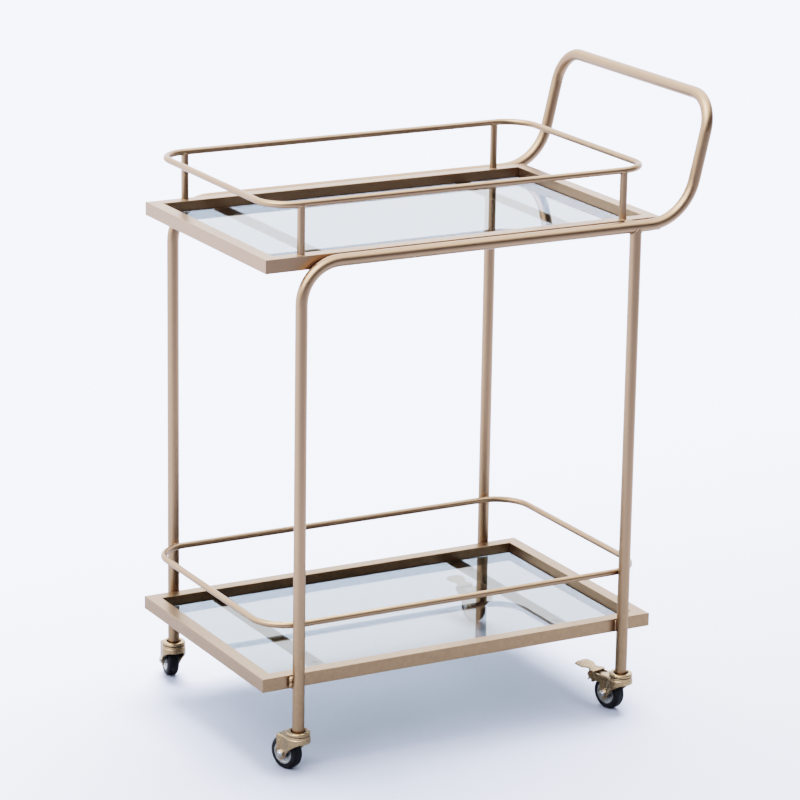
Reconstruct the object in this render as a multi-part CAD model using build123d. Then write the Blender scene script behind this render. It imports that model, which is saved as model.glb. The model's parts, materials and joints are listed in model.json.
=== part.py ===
from build123d import *

import os
from math import cos, radians, sin, tan

# Bar cart on four casters. Millimetres. While it is built, X runs along the trays towards the
# push handle, Y across them and Z up from the floor, with the middle of the trays at X = Y = 0.
# The finished pieces are then shifted so that the origin is the middle of the base of their box.

# Trays: two mitred frames of square tube with a glass panel low inside each. The tubes stand a
# little off the upper tray's sides and touch the lower tray's, which is that much larger.
UPPER_LENGTH = 640.0
UPPER_WIDTH = 396.0
UPPER_TOP = 755.0
TUBE_GAP = 3.0
LOWER_LENGTH = UPPER_LENGTH + 2 * TUBE_GAP
LOWER_WIDTH = UPPER_WIDTH + 2 * TUBE_GAP
LOWER_TOP = 145.0
BAR = 20.0
BAR_WALL = 1.2
BAR_EDGE = 0.8
GLASS_DROP = 15.0
GLASS_THICKNESS = 4.0
GLASS_GAP = 1.5
GLASS_CORNER = 3.0
GLASS_EDGE = 0.6
STRAP_X = 204.0
STRAP_WIDTH = 25.0
STRAP_THICKNESS = 2.0
STRAP_LAP = 10.0
PAD_RADIUS = 5.0
PAD_Y = 130.0

# Round tube: legs, runs and handle.
TUBE_RADIUS = 8.75
TUBE_WALL = 1.2
TUBE_Y = LOWER_WIDTH / 2 + TUBE_RADIUS
LEG_X = 270.5
LEG_FOOT = 62.0
LEG_BEND = 58.0
RUN_Z = UPPER_TOP - 8.0
HANDLE_FOOT_X = 354.0
HANDLE_FOOT_BEND = 78.0
HANDLE_TOP_X = 395.5
HANDLE_TOP_Z = 925.0
HANDLE_CORNER = 48.0
COPE_TRIM = 1.5
SPACER_LENGTH = 22.0
SPACER_HEIGHT = 9.0

# Gallery rails: closed rods with round corners.
ROD_RADIUS = 4.75
UPPER_RAIL_HEIGHT = 71.5
UPPER_RAIL_X = 307.0
UPPER_RAIL_Y = UPPER_WIDTH / 2 - BAR / 2
UPPER_RAIL_CORNER = 46.0
POST_X = 261.0
POST_RADIUS = 5.5
POST_DROP = 2.0
LOWER_RAIL_HEIGHT = 72.5
LOWER_RAIL_X = 312.0
LOWER_RAIL_Y = TUBE_Y - TUBE_RADIUS - ROD_RADIUS
LOWER_RAIL_CORNER = 54.0

# Casters, each in its own frame: the swivel axis is X = Y = 0, the wheel trails along +X, the axle
# lies along Y, and the floor is Z = 0.
WHEEL_RADIUS = 25.0
TREAD_WIDTH = 18.0
TREAD_SHOULDER = 5.5
HUB_RADIUS = 16.5
HUB_FACE = 8.6
HUB_DISH = 1.6
TRAIL = 22.5
AXLE_RADIUS = 3.0
RUNNING_GAP = 0.05
PRESS_GAP = 0.02
SIDE_PLAY = 0.3
FORK_TOP = 53.4
FORK_SHEET = 2.0
FORK_PAN_RADIUS = 18.0
RACE_RADIUS = 17.4
RACE_TOP = 56.2
FORK_HALF_WIDTH = 13.0
FORK_TAIL = 31.0
FORK_TAPER = 19.6
FORK_SKIRT = 46.0
KING_PIN_RADIUS = 4.0
CAP_FLOOR = 58.4
CAP_TOP = 62.5
CAP_RADIUS = 17.5
CAP_SHEET = 1.5
CAP_GAP = 1.6
BALL_RADIUS = 1.5
BALL_CIRCLE = 13.2
BALL_COUNT = 12
BALL_SEAT = 0.1
NUT_WIDTH = 10.0
NUT_HEIGHT = 3.0
NUT_CORNER = 6.2
INSERT_DEPTH = 22.0
INSERT_RADIUS = TUBE_RADIUS - TUBE_WALL - RUNNING_GAP

# Brake, in the caster's frame.
PEDAL_PIVOT_X = 53.0
PEDAL_PIVOT_Z = 46.5
PEDAL_TILT = 5.0
PEDAL_LIFT = 6.1
PEDAL_SHEET = 2.0
PEDAL_PIN_RADIUS = 2.0
PEDAL_PIN_HEAD = 3.2
PEDAL_EYE_RADIUS = 4.3
PEDAL_TRAVEL = 18.0
SHOE_X = 50.5
SHOE_Z = 37.0
SHOE_RADIUS = 3.0
LUG_INNER = 6.4
LUG_OUTER = 8.0
EAR_INNER = 9.5
EAR_OUTER = 11.5
EAR_ROUND = 5.0
EAR_BOTTOM = 39.5
THROUGH = 40.0

# Each caster: side in X, side in Y, heading in degrees that the wheel trails to, and brake.
CASTERS = {
    "front_left": (-1, -1, 109.0, False),
    "rear_left": (-1, 1, 80.0, False),
    "front_right": (1, -1, 104.0, True),
    "rear_right": (1, 1, 94.0, True),
}

# Each tray: length, width and the height of its top.
TRAYS = {
    "upper": (UPPER_LENGTH, UPPER_WIDTH, UPPER_TOP),
    "lower": (LOWER_LENGTH, LOWER_WIDTH, LOWER_TOP),
}
SIDES = {"front": -1, "rear": 1}
ENDS = {"left": -1, "right": 1}


def at_height(z):
    return Plane.XY.offset(z)


def upright(points):
    """Points given as (x, z) pairs, on the plane Y = 0."""
    return [(x, 0, z) for x, z in points]


def plate_along_y(outline, inner, outer):
    """An (x, z) face, extruded so that it fills Y from inner to outer."""
    return extrude(Pos(0, inner, 0) * outline, outer - inner, dir=(0, 1, 0))


def pin_along_y(x, z, radius, start, end):
    middle = (start + end) / 2
    return Pos(x, middle, z) * Rot(90, 0, 0) * Cylinder(radius, abs(end - start))


def hole_along_y(x, z, radius):
    return pin_along_y(x, z, radius, -THROUGH / 2, THROUGH / 2)


def disc(radius, bottom, top):
    """An upright cylinder on the Z axis."""
    return Pos(0, 0, (bottom + top) / 2) * Cylinder(radius, top - bottom)


# Trays


def mitred_bar(length, width, top):
    """The bar at negative Y of a frame of length by width, mitred at 45 degrees at both ends."""
    x, y = length / 2, width / 2
    corners = [(-x, -y), (x, -y), (x - BAR, BAR - y), (BAR - x, BAR - y)]
    outline = make_face(Polyline(*corners, close=True))
    bar = extrude(at_height(top - BAR) * outline, BAR, dir=(0, 0, 1))
    bar = fillet(bar.edges().filter_by(Axis.X), BAR_EDGE)
    bore = BAR - 2 * BAR_WALL
    return bar - Pos(0, BAR / 2 - y, top - BAR / 2) * Box(length, bore, bore)


def tray_bars(length, width, top):
    long_bar = mitred_bar(length, width, top)
    short_bar = mitred_bar(width, length, top)
    return {
        "front_bar": long_bar,
        "rear_bar": Rot(0, 0, 180) * long_bar,
        "left_bar": Rot(0, 0, -90) * short_bar,
        "right_bar": Rot(0, 0, 90) * short_bar,
    }


def glass_panel(length, width, top):
    inset = 2 * (BAR + GLASS_GAP)
    sheet = RectangleRounded(length - inset, width - inset, GLASS_CORNER)
    panel = extrude(at_height(top - GLASS_DROP - GLASS_THICKNESS) * sheet, GLASS_THICKNESS)
    rims = panel.edges().group_by(Axis.Z)
    return chamfer(rims[0] + rims[-1], GLASS_EDGE)


def strap(end, width, top):
    """A flat bar lap-welded under the front and rear bars, at the left (-1) or right (+1)."""
    length = width - 2 * STRAP_LAP
    z = top - BAR - STRAP_THICKNESS / 2
    return Pos(end * STRAP_X, 0, z) * Box(STRAP_WIDTH, length, STRAP_THICKNESS)


def glass_pads():
    pads = []
    for _, _, top in TRAYS.values():
        low = top - BAR
        high = top - GLASS_DROP - GLASS_THICKNESS
        for x in (-STRAP_X, STRAP_X):
            for y in (-PAD_Y, PAD_Y):
                pads.append(Pos(x, y, 0) * disc(PAD_RADIUS, low, high))
    return Compound(children=pads)


# Tubes


def main_tube():
    """Leg, run, handle, run and leg in one bent tube, from the front left foot to the rear one."""
    front = [
        (-LEG_X, -TUBE_Y, LEG_FOOT),
        (-LEG_X, -TUBE_Y, RUN_Z),
        (HANDLE_FOOT_X, -TUBE_Y, RUN_Z),
        (HANDLE_TOP_X, -TUBE_Y, HANDLE_TOP_Z),
    ]
    rear = [(x, -y, z) for x, y, z in reversed(front)]
    bends = [LEG_BEND, HANDLE_FOOT_BEND, HANDLE_CORNER]
    path = FilletPolyline(*front, *rear, radius=bends + bends[::-1])
    ring = Circle(TUBE_RADIUS) - Circle(TUBE_RADIUS - TUBE_WALL)
    return sweep(Plane(origin=path @ 0, z_dir=path % 0) * ring, path=path)


def straight_leg(side):
    """Right leg at the front (-1) or rear (+1), its top coped to fit the run above it."""
    height = RUN_Z - COPE_TRIM - LEG_FOOT
    ring = Circle(TUBE_RADIUS) - Circle(TUBE_RADIUS - TUBE_WALL)
    leg = extrude(Plane((LEG_X, side * TUBE_Y, LEG_FOOT)) * ring, height)
    run = Pos(LEG_X, side * TUBE_Y, RUN_Z) * Rot(0, 90, 0) * Cylinder(TUBE_RADIUS, 4 * TUBE_RADIUS)
    return leg - run


def weld_spacers():
    """Small plates that join the runs of round tube to the sides of the upper tray."""
    plates = []
    inboard = LEG_X - LEG_BEND
    for x in (-inboard, inboard):
        for side in SIDES.values():
            y = side * (UPPER_WIDTH / 2 + TUBE_GAP / 2)
            plate = Box(SPACER_LENGTH, TUBE_GAP, SPACER_HEIGHT)
            plates.append(Pos(x, y, RUN_Z - SPACER_HEIGHT / 2) * plate)
    return Compound(children=plates)


def leg_inserts():
    """Threaded plugs in the legs' feet, each with a collar that stands on its caster's cap."""
    plug_top = LEG_FOOT + INSERT_DEPTH
    plug = disc(TUBE_RADIUS, CAP_FLOOR, LEG_FOOT) + disc(INSERT_RADIUS, LEG_FOOT, plug_top)
    plug -= disc(KING_PIN_RADIUS + RUNNING_GAP, 0, 2 * plug_top)
    places = [Pos(side_x * LEG_X, side_y * TUBE_Y, 0) for side_x, side_y, _, _ in CASTERS.values()]
    return Compound(children=[place * plug for place in places])


# Gallery rails


def closed_rail(half_x, half_y, corner, z):
    loop = (at_height(z) * RectangleRounded(2 * half_x, 2 * half_y, corner)).wire()
    return sweep(Plane(origin=loop @ 0, z_dir=loop % 0) * Circle(ROD_RADIUS), path=loop)


def post(end, side, rail):
    """Gallery post on a long bar, its top coped to fit the rail above it."""
    top = UPPER_TOP + UPPER_RAIL_HEIGHT - POST_DROP
    return Pos(end * POST_X, side * UPPER_RAIL_Y, 0) * disc(POST_RADIUS, UPPER_TOP, top) - rail


# Caster pieces


def caster_stem():
    """Stud that screws into the leg, king pin through the fork, and the riveted head below it."""
    head_radius = 7.0
    head_height = 3.0
    head_top = RACE_TOP - FORK_SHEET - SIDE_PLAY
    spare_thread = 4.0
    stud = disc(KING_PIN_RADIUS, head_top, LEG_FOOT + INSERT_DEPTH - spare_thread)
    stud = chamfer(stud.edges().sort_by(Axis.Z)[-1], 0.8)
    head = disc(head_radius, head_top - head_height, head_top)
    head = fillet(head.edges().sort_by(Axis.Z)[0], 1.8)
    return stud + head


def swivel_cap():
    """Pressed raceway: a rim over the balls, round a dished floor that the leg's collar stands on."""
    rim_inner = 11.2
    ball_gap = 0.5
    rim_round = 0.7
    hub_radius = BALL_CIRCLE - BALL_RADIUS - ball_gap
    hub_bottom = RACE_TOP + ball_gap
    underside = RACE_TOP + 2 * (BALL_RADIUS + BALL_SEAT)
    skirt_bottom = RACE_TOP + CAP_GAP
    profile = [
        (hub_radius, underside),
        (hub_radius, hub_bottom),
        (KING_PIN_RADIUS, hub_bottom),
        (KING_PIN_RADIUS, CAP_FLOOR),
        (rim_inner - 1.2, CAP_FLOOR),
        (rim_inner, CAP_TOP - 0.8),
        (rim_inner + 0.8, CAP_TOP),
        (CAP_RADIUS - 2.4, CAP_TOP),
        (CAP_RADIUS - 0.6, CAP_TOP - 0.7),
        (CAP_RADIUS, CAP_TOP - 2.0),
        (CAP_RADIUS, skirt_bottom),
        (CAP_RADIUS - CAP_SHEET, skirt_bottom),
        (CAP_RADIUS - CAP_SHEET, underside),
    ]
    cap = revolve(make_face(Polyline(*upright(profile), close=True)), Axis.Z)
    circles = cap.edges().filter_by(GeomType.CIRCLE)
    rims = [edge for edge in circles if edge.center().Z > CAP_TOP - 1.9 and edge.radius > rim_inner + 0.1]
    return fillet(rims, rim_round)


def swivel_balls():
    ring = [Rot(0, 0, 360 * n / BALL_COUNT) * Pos(BALL_CIRCLE, 0, 0) for n in range(BALL_COUNT)]
    z = RACE_TOP + BALL_SEAT + BALL_RADIUS
    return Compound(children=[Pos(0, 0, z) * place * Sphere(BALL_RADIUS) for place in ring])


def fork_outline(radius, half_width, tail):
    """Plan of the fork: round in front, narrowing to two parallel sides that reach the tail."""
    lean = radians(FORK_TAPER)
    x, y = radius * sin(lean), radius * cos(lean)
    knee = x + (y - half_width) / tan(lean)
    nose = ThreePointArc((x, y), (-radius, 0), (x, -y))
    sides = Polyline((x, -y), (knee, -half_width), (tail, -half_width))
    back = Polyline((tail, -half_width), (tail, half_width), (knee, half_width), (x, y))
    return make_face([nose, *sides.edges(), *back.edges()])


def fork_side_view():
    """What the stamping leaves of the fork's walls, seen along the axle."""
    foot_radius = 9.0
    foot_x = FORK_TAIL - foot_radius
    toe_lean = radians(25)
    toe = (foot_x - foot_radius * cos(toe_lean), WHEEL_RADIUS - foot_radius * sin(toe_lean))
    sole = (foot_x, WHEEL_RADIUS - foot_radius)
    heel = (FORK_TAIL, WHEEL_RADIUS)
    tail = (FORK_TAIL, FORK_TOP)
    nose_top = (-FORK_PAN_RADIUS - 1, FORK_TOP)
    nose_bottom = (-FORK_PAN_RADIUS - 1, FORK_SKIRT)
    arch_start = (-14, FORK_SKIRT)
    arch_middle = (4.5, 33.2)
    outline = [
        Polyline(*upright([heel, tail, nose_top, nose_bottom, arch_start])),
        ThreePointArc(*upright([arch_start, arch_middle, toe])),
        ThreePointArc(*upright([toe, sole, heel])),
    ]
    return make_face(outline)


def fork_ears():
    """Two plates that carry the brake pedal's pin behind the wheel."""
    x, z = PEDAL_PIVOT_X, PEDAL_PIVOT_Z
    root_x = 26
    heel_x = 44
    corner = 4
    eye_top = (x, z + EAR_ROUND)
    eye_bottom = (x, z - EAR_ROUND)
    root = [(root_x + corner, EAR_BOTTOM), (root_x, EAR_BOTTOM + 3), (root_x, z + EAR_ROUND)]
    outline = make_face(
        [
            ThreePointArc(*upright([eye_top, (x + EAR_ROUND, z), eye_bottom])),
            Polyline(*upright([eye_bottom, (heel_x, EAR_BOTTOM), *root, eye_top])),
        ]
    )
    left = plate_along_y(outline, EAR_INNER, EAR_OUTER)
    right = plate_along_y(outline, -EAR_OUTER, -EAR_INNER)
    return left + right


def fork_raceway():
    """Round boss on the fork's top that the balls run on, and the hollow under it."""
    foot = FORK_TOP - FORK_SHEET
    boss = disc(RACE_RADIUS, foot, RACE_TOP)
    boss = fillet(boss.edges().sort_by(Axis.Z)[-1], 0.6)
    return boss, disc(RACE_RADIUS - FORK_SHEET, foot - 1, RACE_TOP - FORK_SHEET)


def fork(braked):
    outer = fork_outline(FORK_PAN_RADIUS, FORK_HALF_WIDTH, FORK_TAIL)
    inner = fork_outline(FORK_PAN_RADIUS - FORK_SHEET, FORK_HALF_WIDTH - FORK_SHEET, FORK_TAIL + 1)
    shell = extrude(outer, FORK_TOP, dir=(0, 0, 1))
    top_edges = shell.edges().group_by(Axis.Z)[-1]
    drawn_edges = top_edges.filter_by(lambda edge: edge.center().X < FORK_TAIL - 1)
    shell = fillet(drawn_edges, 0.8 * FORK_SHEET)
    hollow = extrude(inner, FORK_TOP - FORK_SHEET, dir=(0, 0, 1))
    half_depth = FORK_PAN_RADIUS + 1
    body = (shell - hollow) & plate_along_y(fork_side_view(), -half_depth, half_depth)
    boss, boss_hollow = fork_raceway()
    body = body + boss - boss_hollow
    if braked:
        body += fork_ears()
        body -= hole_along_y(PEDAL_PIVOT_X, PEDAL_PIVOT_Z, PEDAL_PIN_RADIUS + PRESS_GAP)
    body -= disc(KING_PIN_RADIUS + RUNNING_GAP, RACE_TOP - 2 * FORK_SHEET, RACE_TOP + FORK_SHEET)
    body -= hole_along_y(TRAIL, WHEEL_RADIUS, AXLE_RADIUS + PRESS_GAP)
    return body


def axle_bolt():
    """Bolt with a domed head on the -Y side, and its nut on the +Y side."""
    head_end = -FORK_HALF_WIDTH - NUT_HEIGHT
    head = pin_along_y(TRAIL, WHEEL_RADIUS, NUT_WIDTH / 2, head_end, -FORK_HALF_WIDTH)
    head = fillet(head.edges().sort_by(Axis.Y)[0], 1.4)
    thread_showing = 1.0
    bolt_end = FORK_HALF_WIDTH + NUT_HEIGHT + thread_showing
    shank = pin_along_y(TRAIL, WHEEL_RADIUS, AXLE_RADIUS, -FORK_HALF_WIDTH, bolt_end)
    shank = chamfer(shank.edges().sort_by(Axis.Y)[-1], 0.6)
    hexagon = RegularPolygon(NUT_WIDTH / 2, 6, major_radius=False) - Circle(AXLE_RADIUS + PRESS_GAP)
    nut_face = Plane(origin=(TRAIL, FORK_HALF_WIDTH, WHEEL_RADIUS), z_dir=(0, 1, 0))
    nut = extrude(nut_face * hexagon, NUT_HEIGHT)
    bevel = [(NUT_CORNER - 1.6, NUT_HEIGHT), (NUT_CORNER, NUT_HEIGHT - 1.0)]
    blank = revolve_about_axle([(0, 0), (0, NUT_HEIGHT), *bevel, (NUT_CORNER, 0)])
    nut &= Pos(0, FORK_HALF_WIDTH, 0) * blank
    return Compound(children=[shank + head, nut])


def revolve_about_axle(profile):
    """A closed (radius, y) outline turned about the axle."""
    points = [(TRAIL + radius, y, WHEEL_RADIUS) for radius, y in profile]
    face = make_face(Polyline(*points, close=True))
    axle = Axis((TRAIL, 0, WHEEL_RADIUS), (0, 1, 0))
    return revolve(face, axle)


def wheel_hub():
    """Disc with a raised rim and a boss that keeps it centred in the fork."""
    boss = FORK_HALF_WIDTH - FORK_SHEET - SIDE_PLAY
    boss_radius = 6.0
    web = HUB_FACE - HUB_DISH
    rim_foot = HUB_RADIUS - 3.3
    half = [
        (boss_radius, boss),
        (boss_radius + 0.4, web),
        (rim_foot, web),
        (rim_foot + 1.0, HUB_FACE),
        (HUB_RADIUS, HUB_FACE),
    ]
    bore = AXLE_RADIUS + RUNNING_GAP
    mirrored = [(radius, -y) for radius, y in reversed(half)]
    return revolve_about_axle([(bore, boss), *half, *mirrored, (bore, -boss)])


def tyre():
    half = TREAD_WIDTH / 2
    cheek = HUB_RADIUS + 0.4
    seat = HUB_FACE - 0.6
    right = [(HUB_RADIUS, seat), (cheek, half), (WHEEL_RADIUS, half)]
    left = [(radius, -y) for radius, y in reversed(right)]
    slab = revolve_about_axle(right + left)
    rims = [edge for edge in slab.edges().filter_by(GeomType.CIRCLE) if edge.radius > WHEEL_RADIUS - 1]
    return fillet(rims, TREAD_SHOULDER)


# Brake pieces


def pedal_outline():
    """Bow-tie plan of the rocker pedal: short wings at the wheel, a waist, and a broad toe plate."""
    wings = [(44.5, 11.0), (46.0, 13.0), (50.5, 13.0)]
    waist = [(57.0, 8.2), (62.0, 8.2)]
    toe_plate = [(69.0, 14.0), (83.0, 14.0), (86.5, 9.0)]
    half = wings + waist + toe_plate
    other = [(x, -y) for x, y in reversed(half)]
    face = make_face(Polyline(*half, *other, close=True))
    return fillet(face.vertices(), 1.2)


def pedal_lug():
    """Side view of one lug: from the plate down round the pin, and on to the shoe."""
    x, z = PEDAL_PIVOT_X, PEDAL_PIVOT_Z
    plate_z = z + PEDAL_LIFT
    shoe_half = SHOE_RADIUS - 0.1
    front = [(SHOE_X - shoe_half, SHOE_Z), (x - 3.6, plate_z)]
    back = [(x + 5.5, plate_z), (x + PEDAL_EYE_RADIUS, z - 1), (SHOE_X + shoe_half, SHOE_Z)]
    return make_face(Polyline(*upright(front + back), close=True))


def brake_pedal():
    x, z = PEDAL_PIVOT_X, PEDAL_PIVOT_Z
    level = z + PEDAL_LIFT
    plate = extrude(at_height(level) * pedal_outline(), PEDAL_SHEET)
    rim = plate.edges().group_by(Axis.Z)[-1]
    plate = fillet(rim, 0.6)
    plate = Pos(x, 0, z) * Rot(0, -PEDAL_TILT, 0) * Pos(-x, 0, -z) * plate
    pedal = plate
    for inner, outer in ((LUG_INNER, LUG_OUTER), (-LUG_OUTER, -LUG_INNER)):
        pedal += plate_along_y(pedal_lug(), inner, outer)
        pedal += pin_along_y(x, z, PEDAL_EYE_RADIUS, inner, outer)
    pedal += pin_along_y(SHOE_X, SHOE_Z, SHOE_RADIUS, -LUG_OUTER, LUG_OUTER)
    return pedal - hole_along_y(x, z, PEDAL_PIN_RADIUS + RUNNING_GAP)


def brake_pin():
    x, z = PEDAL_PIVOT_X, PEDAL_PIVOT_Z
    head_height = 1.2
    pin = pin_along_y(x, z, PEDAL_PIN_RADIUS, -EAR_OUTER, EAR_OUTER)
    for side in (-1, 1):
        pin += pin_along_y(x, z, PEDAL_PIN_HEAD, side * EAR_OUTER, side * (EAR_OUTER + head_height))
    return pin


def brake_spring():
    """Leaf from under the fork's top, over the pin and down behind the shoe to a short tail."""
    thickness = 0.8
    width = 8.0
    under_top = FORK_TOP - FORK_SHEET - thickness / 2
    root = [(24.5, under_top), (35.0, under_top)]
    over_pin = [(47.0, 50.0), (58.5, 49.6)]
    tail = [(61.3, 38.5), (65.0, 33.0)]
    path = FilletPolyline(*upright(root + over_pin + tail), radius=[6, 6, 3, 3])
    start = Plane(origin=path @ 0, x_dir=(0, 1, 0), z_dir=path % 0)
    return sweep(start * Rectangle(width, thickness), path=path)


def caster_pieces(braked):
    pieces = {
        "caster_stem": caster_stem(),
        "swivel_cap": swivel_cap(),
        "swivel_balls": swivel_balls(),
        "fork": fork(braked),
        "axle_bolt": axle_bolt(),
        "wheel_hub": wheel_hub(),
        "tyre": tyre(),
    }
    if braked:
        pieces["brake_pedal"] = brake_pedal()
        pieces["brake_pin"] = brake_pin()
        pieces["brake_spring"] = brake_spring()
    return pieces


# Assembly


def cart_pieces():
    pieces = {"bent_main_tube": main_tube()}
    for side_name, side in SIDES.items():
        pieces[f"right_{side_name}_leg"] = straight_leg(side)
    for tray, (length, width, top) in TRAYS.items():
        for bar_name, bar in tray_bars(length, width, top).items():
            pieces[f"{tray}_tray_{bar_name}"] = bar
        for end_name, end in ENDS.items():
            pieces[f"{tray}_tray_{end_name}_strap"] = strap(end, width, top)
        pieces[f"{tray}_glass_panel"] = glass_panel(length, width, top)
    pieces["glass_pads"] = glass_pads()
    upper_z = UPPER_TOP + UPPER_RAIL_HEIGHT
    lower_z = LOWER_TOP + LOWER_RAIL_HEIGHT
    upper_rail = closed_rail(UPPER_RAIL_X, UPPER_RAIL_Y, UPPER_RAIL_CORNER, upper_z)
    pieces["upper_gallery_rail"] = upper_rail
    pieces["lower_gallery_rail"] = closed_rail(LOWER_RAIL_X, LOWER_RAIL_Y, LOWER_RAIL_CORNER, lower_z)
    for side_name, side in SIDES.items():
        for end_name, end in ENDS.items():
            pieces[f"upper_gallery_{side_name}_{end_name}_post"] = post(end, side, upper_rail)
    pieces["weld_spacers"] = weld_spacers()
    pieces["leg_inserts"] = leg_inserts()
    kits = {braked: caster_pieces(braked) for braked in (False, True)}
    for caster, (side_x, side_y, heading, braked) in CASTERS.items():
        place = Pos(side_x * LEG_X, side_y * TUBE_Y, 0) * Rot(0, 0, heading)
        for name, piece in kits[braked].items():
            pieces[f"{caster}_{name}"] = place * piece
    return pieces


PIECES = cart_pieces()
BOX = Compound(children=[piece.moved(Location()) for piece in PIECES.values()]).bounding_box()
ORIGIN = Vector((BOX.min.X + BOX.max.X) / 2, (BOX.min.Y + BOX.max.Y) / 2, BOX.min.Z)

os.makedirs("parts", exist_ok=True)
for name, piece in PIECES.items():
    export_step(Pos(-ORIGIN) * piece, f"parts/{name}.step")
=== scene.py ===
import json
import math
import random

import bmesh
import bpy
from mathutils import Matrix, Vector


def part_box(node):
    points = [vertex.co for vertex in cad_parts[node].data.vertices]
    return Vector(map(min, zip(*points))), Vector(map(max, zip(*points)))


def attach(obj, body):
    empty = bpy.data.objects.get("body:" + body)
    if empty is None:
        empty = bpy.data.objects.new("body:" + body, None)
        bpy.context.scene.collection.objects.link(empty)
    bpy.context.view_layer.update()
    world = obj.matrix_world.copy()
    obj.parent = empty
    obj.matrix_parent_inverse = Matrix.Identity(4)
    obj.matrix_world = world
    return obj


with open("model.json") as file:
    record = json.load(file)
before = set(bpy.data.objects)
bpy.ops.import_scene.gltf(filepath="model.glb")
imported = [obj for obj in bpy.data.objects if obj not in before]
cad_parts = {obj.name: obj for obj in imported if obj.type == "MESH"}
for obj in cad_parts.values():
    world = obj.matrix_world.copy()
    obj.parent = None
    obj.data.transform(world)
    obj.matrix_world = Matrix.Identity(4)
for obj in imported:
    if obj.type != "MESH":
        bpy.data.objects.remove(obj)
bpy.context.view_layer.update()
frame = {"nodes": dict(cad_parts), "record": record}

NODES = frame["nodes"]


# Camera: far off with a long lens, a little above the cart and to the left of its front.
AZIMUTH = math.radians(-28.961)
ELEVATION = math.radians(15.957)
ROLL = math.radians(0.975)
DISTANCE = 5.2774
AIM_HEIGHT = 0.4736
AIM_OFFSET = (-0.02303, 0.00039)
LENS = 160.49
SENSOR = 36.0
SHIFT = (-0.01853, -0.00658)


def tray_middle():
    """The point on the floor under the middle of the upper glass."""
    low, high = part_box("upper_glass_panel")
    middle = (low + high) / 2
    return Vector((middle.x, middle.y, 0))


def make_camera():
    back = Vector(
        (
            math.sin(AZIMUTH) * math.cos(ELEVATION),
            -math.cos(AZIMUTH) * math.cos(ELEVATION),
            math.sin(ELEVATION),
        )
    )
    right = Vector((math.cos(AZIMUTH), math.sin(AZIMUTH), 0))
    up = back.cross(right)
    rolled_right = math.cos(ROLL) * right + math.sin(ROLL) * up
    rolled_up = math.cos(ROLL) * up - math.sin(ROLL) * right
    place = tray_middle() + Vector((0, 0, AIM_HEIGHT)) + DISTANCE * back
    place -= AIM_OFFSET[0] * rolled_right + AIM_OFFSET[1] * rolled_up
    data = bpy.data.cameras.new("camera")
    data.lens = LENS
    data.sensor_width = SENSOR
    data.shift_x, data.shift_y = SHIFT
    data.clip_end = 100
    camera = bpy.data.objects.new("camera", data)
    bpy.context.scene.collection.objects.link(camera)
    axes = Matrix((rolled_right, rolled_up, back)).transposed().to_4x4()
    camera.matrix_world = Matrix.Translation(place) @ axes
    bpy.context.scene.camera = camera


make_camera()


# Materials
NOISE_ROUGHNESS = 0.55


class Nodes:
    """A node tree, with short calls for making nodes and joining them."""

    def __init__(self, tree):
        self.tree = tree

    def make(self, kind, **settings):
        node = self.tree.nodes.new(kind)
        for key, value in settings.items():
            setattr(node, key, value)
        return node

    def feed(self, value, socket):
        if isinstance(value, bpy.types.NodeSocket):
            self.tree.links.new(value, socket)
        else:
            socket.default_value = value

    def ramp(self, value, low, high, out_low=0.0, out_high=1.0, smooth=False):
        node = self.make("ShaderNodeMapRange")
        if smooth:
            node.interpolation_type = "SMOOTHSTEP"
        self.feed(value, node.inputs["Value"])
        node.inputs["From Min"].default_value = low
        node.inputs["From Max"].default_value = high
        node.inputs["To Min"].default_value = out_low
        node.inputs["To Max"].default_value = out_high
        return node.outputs["Result"]

    def mix(self, factor, first, second):
        node = self.make("ShaderNodeMix", data_type="RGBA")
        colours = [socket for socket in node.inputs if socket.type == "RGBA"]
        self.feed(factor, node.inputs["Factor"])
        self.feed(first, colours[0])
        self.feed(second, colours[1])
        return next(socket for socket in node.outputs if socket.type == "RGBA")

    def maths(self, operation, first, second=0.0):
        node = self.make("ShaderNodeMath", operation=operation)
        self.feed(first, node.inputs[0])
        self.feed(second, node.inputs[1])
        return node.outputs[0]


class Surface(Nodes):
    """A material with one Principled shader, and textures placed in metres on the cart."""

    def __init__(self, name):
        self.material = bpy.data.materials.new(name)
        self.material.use_nodes = True
        super().__init__(self.material.node_tree)
        self.shader = self.tree.nodes["Principled BSDF"]
        self.place = self.make("ShaderNodeTexCoord").outputs["Object"]

    def noise(self, scale, detail=3.0):
        mapping = self.make("ShaderNodeMapping")
        mapping.inputs["Scale"].default_value = [scale] * 3
        self.feed(self.place, mapping.inputs["Vector"])
        node = self.make("ShaderNodeTexNoise")
        node.inputs["Scale"].default_value = 1.0
        node.inputs["Detail"].default_value = detail
        node.inputs["Roughness"].default_value = NOISE_ROUGHNESS
        self.feed(mapping.outputs["Vector"], node.inputs["Vector"])
        return node.outputs["Fac"]

    def height(self):
        node = self.make("ShaderNodeSeparateXYZ")
        self.feed(self.place, node.inputs[0])
        return node.outputs["Z"]

    def bump(self, height, distance, strength=1.0, normal=None):
        node = self.make("ShaderNodeBump")
        node.inputs["Distance"].default_value = distance
        node.inputs["Strength"].default_value = strength
        self.feed(height, node.inputs["Height"])
        if normal is not None:
            self.feed(normal, node.inputs["Normal"])
        return node.outputs["Normal"]

    def set(self, **sockets):
        for name, value in sockets.items():
            self.feed(value, self.shader.inputs[name.replace("_", " ")])


def grey(value):
    return (value, value, value, 1.0)


def shade(colour, factor):
    return tuple(channel * factor for channel in colour) + (1.0,)


# Painted shade where pieces meet, from ambient occlusion: how far it reaches, over what openness it fades,
# how dark it gets.
CREVICE_REACH = 0.0055
CREVICE_RANGE = (0.2, 0.8)
CREVICE_SHADE = 0.34
# Heights over which the gold turns from its own tone to a darker one near the floor: painted shade, for the
# lower tray in the shade of the upper tray.
LOW_SHADE_HEIGHTS = (0.30, 0.12)


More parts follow.
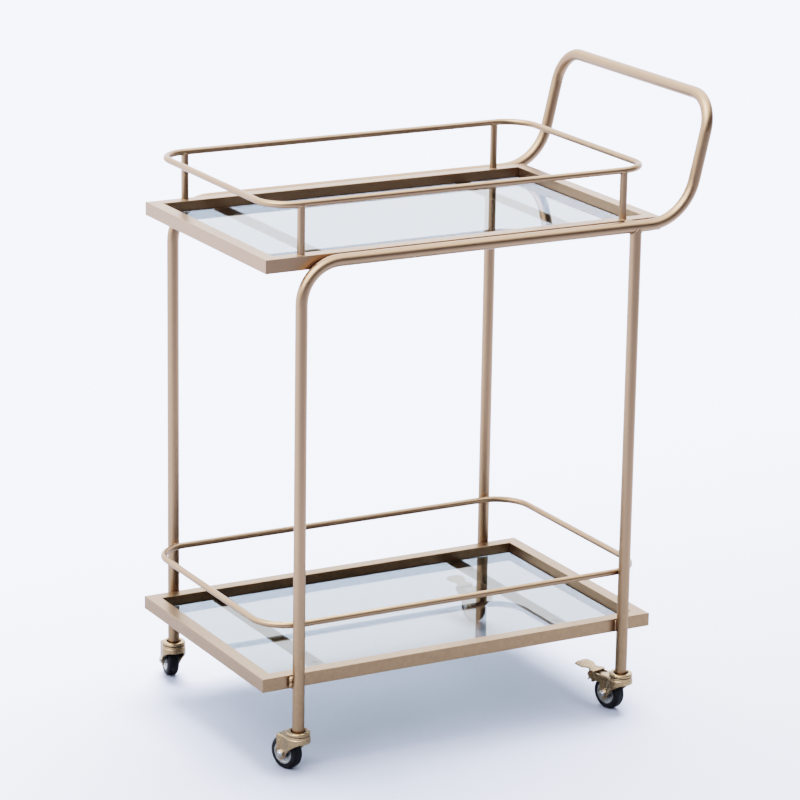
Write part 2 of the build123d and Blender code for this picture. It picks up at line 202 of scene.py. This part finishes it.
def gold(name, colour, low_shade_colour, roughness):
    """Satin gold lacquer: faint clouds, fine grain, uneven gloss, painted shade in crevices, and painted
    shade that darkens it near the floor.
    """
    n = Surface(name)
    clouds = n.ramp(n.noise(scale=7, detail=3), 0.35, 0.65)
    specks = n.ramp(n.noise(scale=160, detail=2), 0.3, 0.7)
    grain = n.noise(scale=2200, detail=2)
    light = n.mix(clouds, shade(colour, 1.03), shade(colour, 0.97))
    low_shade_tone = n.mix(specks, shade(low_shade_colour, 1.04), shade(low_shade_colour, 0.94))
    # Painted shade: the gold darkens towards the floor, over these heights.
    low = n.ramp(n.height(), *LOW_SHADE_HEIGHTS, smooth=True)
    # Painted shade: ambient occlusion darkens the base colour in crevices and gaps between parts.
    crevice = n.make("ShaderNodeAmbientOcclusion", samples=6)
    crevice.inputs["Distance"].default_value = CREVICE_REACH
    open_air = n.ramp(crevice.outputs["AO"], *CREVICE_RANGE, smooth=True)
    tone_with_low_shade = n.mix(low, light, low_shade_tone)
    n.set(Base_Color=n.mix(open_air, shade(colour, CREVICE_SHADE), tone_with_low_shade), Metallic=1.0)
    uneven = n.maths("ADD", n.ramp(specks, 0, 1, -0.025, 0.025), n.ramp(grain, 0.3, 0.7, -0.03, 0.03))
    n.set(Roughness=n.maths("ADD", uneven, roughness))
    orange_peel = n.bump(specks, distance=0.00004, strength=0.25)
    n.set(Normal=n.bump(grain, distance=0.00002, strength=0.4, normal=orange_peel))
    return n.material


def bright_metal(name, smear_scale, tones, metallic, roughness, pitting):
    """Bare metal with smears: tones and roughness are (lowest, highest), pitting is (scale, depth)."""
    n = Surface(name)
    smears = n.ramp(n.noise(scale=smear_scale, detail=3), 0.35, 0.65)
    n.set(Base_Color=n.mix(smears, grey(tones[0]), grey(tones[1])), Metallic=metallic)
    n.set(Roughness=n.ramp(smears, 0, 1, *roughness))
    n.set(Normal=n.bump(n.noise(scale=pitting[0], detail=2), distance=pitting[1], strength=0.4))
    return n.material


def steel():
    return bright_metal("zinc_steel", 260, (0.42, 0.56), 1.0, (0.18, 0.30), (900, 0.00004))


def hub_metal():
    return bright_metal("silver_hub", 180, (0.28, 0.40), 0.9, (0.26, 0.40), (700, 0.00005))


def tread():
    """Black rubber with a little dust, finely rough."""
    n = Surface("black_tread")
    dust = n.ramp(n.noise(scale=120, detail=4), 0.45, 0.75)
    n.set(Base_Color=n.mix(dust, (0.003, 0.003, 0.004, 1), (0.008, 0.0078, 0.009, 1)))
    n.set(Roughness=n.ramp(dust, 0, 1, 0.45, 0.65), Specular_IOR_Level=0.16)
    n.set(Normal=n.bump(n.noise(scale=1300, detail=3), distance=0.00006, strength=0.5))
    return n.material


GLASS_TINT = (0.27, 0.31, 0.31, 1)
GLASS_SHADOW = (0.06, 0.05, 0.045, 1)


def glass():
    """Grey tinted glass with faint smudges. Shadow rays pass straight through it, dimmed by GLASS_SHADOW."""
    n = Surface("clear_glass")
    smudges = n.ramp(n.noise(scale=14, detail=4), 0.5, 0.8)
    n.set(Base_Color=GLASS_TINT, Transmission_Weight=1.0, IOR=1.52)
    n.set(Roughness=n.ramp(smudges, 0, 1, 0.0, 0.012))
    through = n.make("ShaderNodeBsdfTransparent")
    through.inputs["Color"].default_value = GLASS_SHADOW
    join = n.make("ShaderNodeMixShader")
    n.feed(n.make("ShaderNodeLightPath").outputs["Is Shadow Ray"], join.inputs[0])
    n.feed(n.shader.outputs[0], join.inputs[1])
    n.feed(through.outputs[0], join.inputs[2])
    n.feed(join.outputs[0], n.tree.nodes["Material Output"].inputs["Surface"])
    return n.material


def pad_rubber():
    """Small clear pads, a little cloudy."""
    n = Surface("clear_pads")
    n.set(Base_Color=n.mix(n.noise(scale=400), grey(0.55), grey(0.65)), Roughness=0.35)
    return n.material


MATERIALS = {
    "gold_frame": gold("satin_gold", (0.30, 0.192, 0.120), (0.252, 0.162, 0.096), 0.34),
    "gold_caster": gold("caster_gold", (0.33, 0.225, 0.130), (0.33, 0.225, 0.130), 0.28),
    "zinc_steel": steel(),
    "silver_hub": hub_metal(),
    "black_tread": tread(),
    "clear_glass": glass(),
    "clear_pads": pad_rubber(),
}


def dress_nodes():
    slots = {entry["node"]: entry["material_slot"] for entry in frame["record"]["subparts"]}
    for name, node in NODES.items():
        node.data.materials.clear()
        node.data.materials.append(MATERIALS[slots[name]])


dress_nodes()


# Weld beads, in metres. The pieces of the frame are welded, and the beads were lacquered over with them.
LEG_RADIUS = 0.00875
ROD_RADIUS = 0.00475
POST_RADIUS = 0.0055
BEAD_SIDES = 10
BEAD_STEP = 0.0011
RIPPLE = 0.07
DENTS = 0.04
END_SIZE = 0.55
END_GROWTH = 0.25
# Radius of an upright bead, its distance from the leg's axis along the bar, and from the bar's face.
FAT_BEAD = (0.0041, 0.0088, 0.0029)
SLIM_BEAD = (0.0022, 0.0072, 0.0018)
UPRIGHT_TRIM = (0.0014, 0.0016)
SECOND_PASS_RADIUS = 0.0030
SECOND_PASS_OUT = 0.0012
SECOND_PASS_WEAVE = (0.0016, 0.0008)
WEAVE_RADIANS_PER_METRE = (900, 1500)
GAP_BEAD_RADIUS = 0.0029
GAP_BEAD_LENGTH = 0.014
GAP_BEAD_START = 0.0135
GAP_BEAD_DEPTH = 0.0022
GAP_BEAD_INWARD = 0.0008
RAIL_RING = 0.0032
RAIL_BEAD_RADIUS = 0.0014
FOOT_BEAD_RADIUS = 0.0008
SADDLE_BEAD_RADIUS = 0.0007
SADDLE_LEAST_DROP = 0.0022
LEG_TOP_BEAD_RADIUS = 0.0008


def lumpy_tube(bm, path, radius, closed, rng):
    """A round bead along a path, with the uneven ripple that a hand-run weld has, thinner at open ends."""
    count = len(path)
    rings = []
    normal = None
    for i, point in enumerate(path):
        before = path[i - 1] if closed or i else point
        after = path[(i + 1) % count] if closed or i < count - 1 else point
        along = (after - before).normalized()
        normal = along.orthogonal() if normal is None else normal - normal.project(along)
        normal.normalize()
        across = along.cross(normal)
        size = radius * (1 + rng.uniform(-RIPPLE, RIPPLE))
        if not closed:
            from_end = min(i, count - 1 - i)
            size *= min(1.0, END_SIZE + END_GROWTH * from_end)
        ring = []
        for k in range(BEAD_SIDES):
            turn = 2 * math.pi * k / BEAD_SIDES
            out = math.cos(turn) * normal + math.sin(turn) * across
            ring.append(bm.verts.new(point + size * rng.uniform(1 - DENTS, 1 + DENTS) * out))
        rings.append(ring)
    pairs = list(zip(rings, rings[1:]))
    if closed:
        pairs.append((rings[-1], rings[0]))
    else:
        bm.faces.new(reversed(rings[0]))
        bm.faces.new(rings[-1])
    for first, second in pairs:
        for k in range(BEAD_SIDES):
            following = (k + 1) % BEAD_SIDES
            bm.faces.new((first[k], first[following], second[following], second[k]))


def line(start, end):
    """A straight path."""
    steps = max(2, round((end - start).length / BEAD_STEP))
    return [start.lerp(end, i / steps) for i in range(steps + 1)]


def weaving_line(start, end):
    """A wandering upright path, for the second pass of a bead that was run twice."""
    path = []
    for point in line(start, end):
        aside = SECOND_PASS_WEAVE[0] * math.sin(WEAVE_RADIANS_PER_METRE[0] * point.z)
        out = SECOND_PASS_WEAVE[1] * math.sin(WEAVE_RADIANS_PER_METRE[1] * point.z) - SECOND_PASS_OUT
        path.append(point + Vector((aside, out, 0)))
    return path


def loop(radius, point):
    """A closed path: point(turn) for turns all round a circle of this radius."""
    steps = max(12, round(2 * math.pi * radius / BEAD_STEP))
    return [point(2 * math.pi * i / steps) for i in range(steps)]


def facing_ring(middle, radius):
    """A circle in an upright plane along the cart."""
    return loop(radius, lambda turn: middle + radius * Vector((math.cos(turn), 0, math.sin(turn))))


def ring_about(axis, radius, height):
    """A closed path round an upright axis, as high as height(cosine, sine) says."""

    def point(turn):
        cosine = math.cos(turn)
        sine = math.sin(turn)
        return Vector((axis.x + radius * cosine, axis.y + radius * sine, height(cosine, sine)))

    return loop(radius, point)


def welds(name, beads, seed):
    """One piece of lacquered beads, each (path, radius, closed)."""
    rng = random.Random(seed)
    bm = bmesh.new()
    for path, radius, closed in beads:
        lumpy_tube(bm, path, radius, closed, rng)
    bmesh.ops.recalc_face_normals(bm, faces=bm.faces)
    mesh = bpy.data.meshes.new(name)
    bm.to_mesh(mesh)
    bm.free()
    mesh.polygons.foreach_set("use_smooth", [True] * len(mesh.polygons))
    mesh.materials.append(MATERIALS["gold_frame"])
    piece = bpy.data.objects.new(name, mesh)
    bpy.context.scene.collection.objects.link(piece)
    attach(piece, "root")


def node_middle(node):
    low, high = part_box(node)
    return (low + high) / 2


def leg_axes():
    """(side in x, side in y, axis on the floor) of the four legs."""
    middle = tray_middle()
    right = node_middle("right_front_leg")
    reach_x = right.x - middle.x
    reach_y = middle.y - right.y
    for side_x in (-1, 1):
        for side_y in (-1, 1):
            yield side_x, side_y, middle + Vector((side_x * reach_x, side_y * reach_y, 0))


def lower_tray_beads():
    """Upright beads in the grooves between the legs and the lower tray. The fat one was run twice."""
    low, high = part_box("lower_tray_front_bar")
    for side_x, side_y, axis in leg_axes():
        for side in (-1, 1):
            fat = side_x < 0 and side_y < 0 and side < 0
            radius, aside, out = FAT_BEAD if fat else SLIM_BEAD
            x = axis.x + side * aside
            y = axis.y - side_y * (LEG_RADIUS - out)
            start = Vector((x, y, low.z + UPRIGHT_TRIM[0]))
            end = Vector((x, y, high.z - UPRIGHT_TRIM[1]))
            yield line(start, end), radius, False
            if fat:
                yield weaving_line(start, end), SECOND_PASS_RADIUS, False


def upper_tray_beads():
    """Short beads in the gap between the upper tray and the run, beside the right legs."""
    tray_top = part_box("upper_tray_front_bar")[1].z
    for side_x, side_y, axis in leg_axes():
        if side_x > 0:
            y = axis.y - side_y * (LEG_RADIUS + GAP_BEAD_INWARD)
            start = Vector((axis.x - GAP_BEAD_START, y, tray_top - GAP_BEAD_DEPTH))
            yield line(start, start + Vector((GAP_BEAD_LENGTH, 0, 0))), GAP_BEAD_RADIUS, False


def lower_rail_beads():
    """Rings where the legs touch the lower gallery rail."""
    rail_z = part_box("lower_gallery_rail")[1].z - ROD_RADIUS
    for _, side_y, axis in leg_axes():
        touch = Vector((axis.x, axis.y - side_y * LEG_RADIUS, rail_z))
        yield facing_ring(touch, RAIL_RING), RAIL_BEAD_RADIUS, True


def post_beads():
    """Rings at the foot of each gallery post, and saddles where its top meets the rail."""
    tray_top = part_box("upper_tray_front_bar")[1].z
    rail_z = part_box("upper_gallery_rail")[1].z - ROD_RADIUS

    def foot(cosine, sine):
        return tray_top

    def saddle(cosine, sine):
        across = POST_RADIUS * sine
        return rail_z - math.sqrt(max(ROD_RADIUS**2 - across**2, SADDLE_LEAST_DROP**2))

    for end in ("front_left", "front_right", "rear_left", "rear_right"):
        post = node_middle(f"upper_gallery_{end}_post")
        yield ring_about(post, POST_RADIUS, foot), FOOT_BEAD_RADIUS, True
        yield ring_about(post, POST_RADIUS, saddle), SADDLE_BEAD_RADIUS, True


def leg_top_beads():
    """Saddles where the right legs meet the run of the tube above them."""
    run_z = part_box("right_front_leg")[1].z

    def saddle(cosine, sine):
        return run_z - LEG_RADIUS * abs(cosine)

    for side_x, _, axis in leg_axes():
        if side_x > 0:
            yield ring_about(axis, LEG_RADIUS, saddle), LEG_TOP_BEAD_RADIUS, True


welds("lower_tray_welds", lower_tray_beads(), seed=11)
welds("upper_tray_welds", upper_tray_beads(), seed=12)
welds("lower_rail_welds", lower_rail_beads(), seed=13)
welds("gallery_post_welds", post_beads(), seed=14)
welds("leg_top_welds", leg_top_beads(), seed=15)


# Studio: a pale floor all round, a bright room behind and above, and a dim room in front.
FRONT_TURN = math.radians(8)
FRONT = Vector((math.sin(FRONT_TURN), -math.cos(FRONT_TURN), 0))
SOFTBOX = Vector((-0.62, -0.30, 0.72)).normalized()
SOFTBOX_POWER = 5.0
SOFTBOX_EDGE = (0.78, 0.97)
ROOM_TOP = 4.2
ROOM_BACK = 3.0
ROOM_FRONT = 0.06
ROOM_TINT = (0.98, 1.0, 1.06, 1)
# Upward parts of a direction over which the room brightens to ROOM_TOP, and over which its dim front sets in.
TOP_BAND = (0.25, 0.85)
LOW_BAND = (0.92, 0.42)
# Forward parts of a direction over which the dim front sets in.
FRONT_BAND = (-0.5, 0.6)
# The share of the room's light that falls on matt surfaces, which the overhead light serves better.
ROOM_ON_MATT = 0.7
# The floor itself, from behind the cart to in front of it, in metres forward of the cart: painted shade
# darkens it from white to grey towards the front.
FLOOR_WHITE = (0.44, 0.483, 0.635, 1)
FLOOR_PAINTED_SHADE = (0.22, 0.238, 0.30, 1)
FLOOR_FADE = (-1.2, 1.2)
# The floor as the cart mirrors it: beside the cart, further away, and in front. It is darker than the floor
# the camera sees, with painted shadow beside the cart and a painted dark reflection in front.
FLOOR_SHADOWED_BY_CART = (0.17, 0.182, 0.215, 1)
FLOOR_SEEN_IN_GOLD = (0.275, 0.295, 0.355, 1)
FLOOR_DIM_PAINTED = (0.093, 0.099, 0.122, 1)
BY_CART_FADE = (0.3, 1.5)
DIM_FADE = (0.2, 2.2)
FLOOR_REACH = 60.0
OVERHEAD_POWER = 20.5
OVERHEAD_SPREAD = math.radians(44)
OVERHEAD_TILT = math.radians(20)
OVERHEAD_TURN = math.radians(35)


def along(n, vector, axis):
    """How far a vector reaches along an axis."""
    node = n.make("ShaderNodeVectorMath", operation="DOT_PRODUCT")
    n.feed(vector, node.inputs[0])
    node.inputs[1].default_value = axis
    return node.outputs["Value"]


def make_floor():
    """A pale matt floor, shown to the camera in one set of tones with painted shade towards the front, and
    mirrored in the cart in another, darker set with painted shadow by the cart.
    """
    mesh = bpy.data.meshes.new("floor")
    corners = [
        (-FLOOR_REACH, -FLOOR_REACH, 0),
        (FLOOR_REACH, -FLOOR_REACH, 0),
        (FLOOR_REACH, FLOOR_REACH, 0),
        (-FLOOR_REACH, FLOOR_REACH, 0),
    ]
    mesh.from_pydata(corners, [], [(0, 1, 2, 3)])
    n = Surface("pale_floor")
    forward = along(n, n.place, FRONT)
    distance = n.make("ShaderNodeVectorMath", operation="LENGTH")
    n.feed(n.place, distance.inputs[0])
    away = n.ramp(distance.outputs["Value"], *BY_CART_FADE, smooth=True)
    dim = n.ramp(forward, *DIM_FADE, smooth=True)
    # Painted reflection: mirrored rays see a darker floor, with painted shadow by the cart and a painted dark
    # stretch in front.
    mirrored = n.mix(dim, n.mix(away, FLOOR_SHADOWED_BY_CART, FLOOR_SEEN_IN_GOLD), FLOOR_DIM_PAINTED)
    # Painted shade: the floor the camera sees darkens towards the front, standing in for light falling off.
    seen = n.mix(n.ramp(forward, *FLOOR_FADE, smooth=True), FLOOR_WHITE, FLOOR_PAINTED_SHADE)
    bounced = n.ramp(n.make("ShaderNodeLightPath").outputs["Glossy Depth"], 0, 1)
    n.set(Base_Color=n.mix(bounced, seen, mirrored), Roughness=0.9, Specular_IOR_Level=0.1)
    mesh.materials.append(n.material)
    floor = bpy.data.objects.new("floor", mesh)
    bpy.context.scene.collection.objects.link(floor)


def make_world():
    """Room light by direction: brightest overhead, bright behind the cart, dim low in front of it."""
    world = bpy.data.worlds.new("studio")
    world.use_nodes = True
    n = Nodes(world.node_tree)
    direction = n.make("ShaderNodeTexCoord").outputs["Generated"]
    split = n.make("ShaderNodeSeparateXYZ")
    n.feed(direction, split.inputs[0])
    upward = split.outputs["Z"]
    overhead = n.ramp(upward, *TOP_BAND, ROOM_BACK, ROOM_TOP, smooth=True)
    in_front = n.ramp(along(n, direction, FRONT), *FRONT_BAND, smooth=True)
    low_down = n.ramp(upward, *LOW_BAND, smooth=True)
    strength = n.make("ShaderNodeMix", data_type="FLOAT")
    n.feed(n.maths("MULTIPLY", in_front, low_down), strength.inputs[0])
    n.feed(overhead, strength.inputs[2])
    strength.inputs[3].default_value = ROOM_FRONT
    softbox = n.ramp(along(n, direction, SOFTBOX), *SOFTBOX_EDGE, 0.0, SOFTBOX_POWER, smooth=True)
    light = n.maths("ADD", strength.outputs[0], softbox)
    diffuse = n.ramp(n.make("ShaderNodeLightPath").outputs["Is Diffuse Ray"], 0, 1, 1.0, ROOM_ON_MATT)
    background = world.node_tree.nodes["Background"]
    background.inputs["Color"].default_value = ROOM_TINT
    n.feed(n.maths("MULTIPLY", light, diffuse), background.inputs["Strength"])
    bpy.context.scene.world = world


def make_overhead():
    """Wide soft light from above, right and behind. It lights the floor and isn't mirrored in the gold."""
    data = bpy.data.lights.new("overhead", "SUN")
    data.energy = OVERHEAD_POWER
    data.angle = OVERHEAD_SPREAD
    light = bpy.data.objects.new("overhead", data)
    light.rotation_euler = (-OVERHEAD_TILT, 0, -OVERHEAD_TURN)
    light.visible_glossy = False
    bpy.context.scene.collection.objects.link(light)


make_floor()
make_world()
make_overhead()
view = bpy.context.scene.view_settings
view.view_transform = "Filmic"
view.look = "Medium High Contrast"
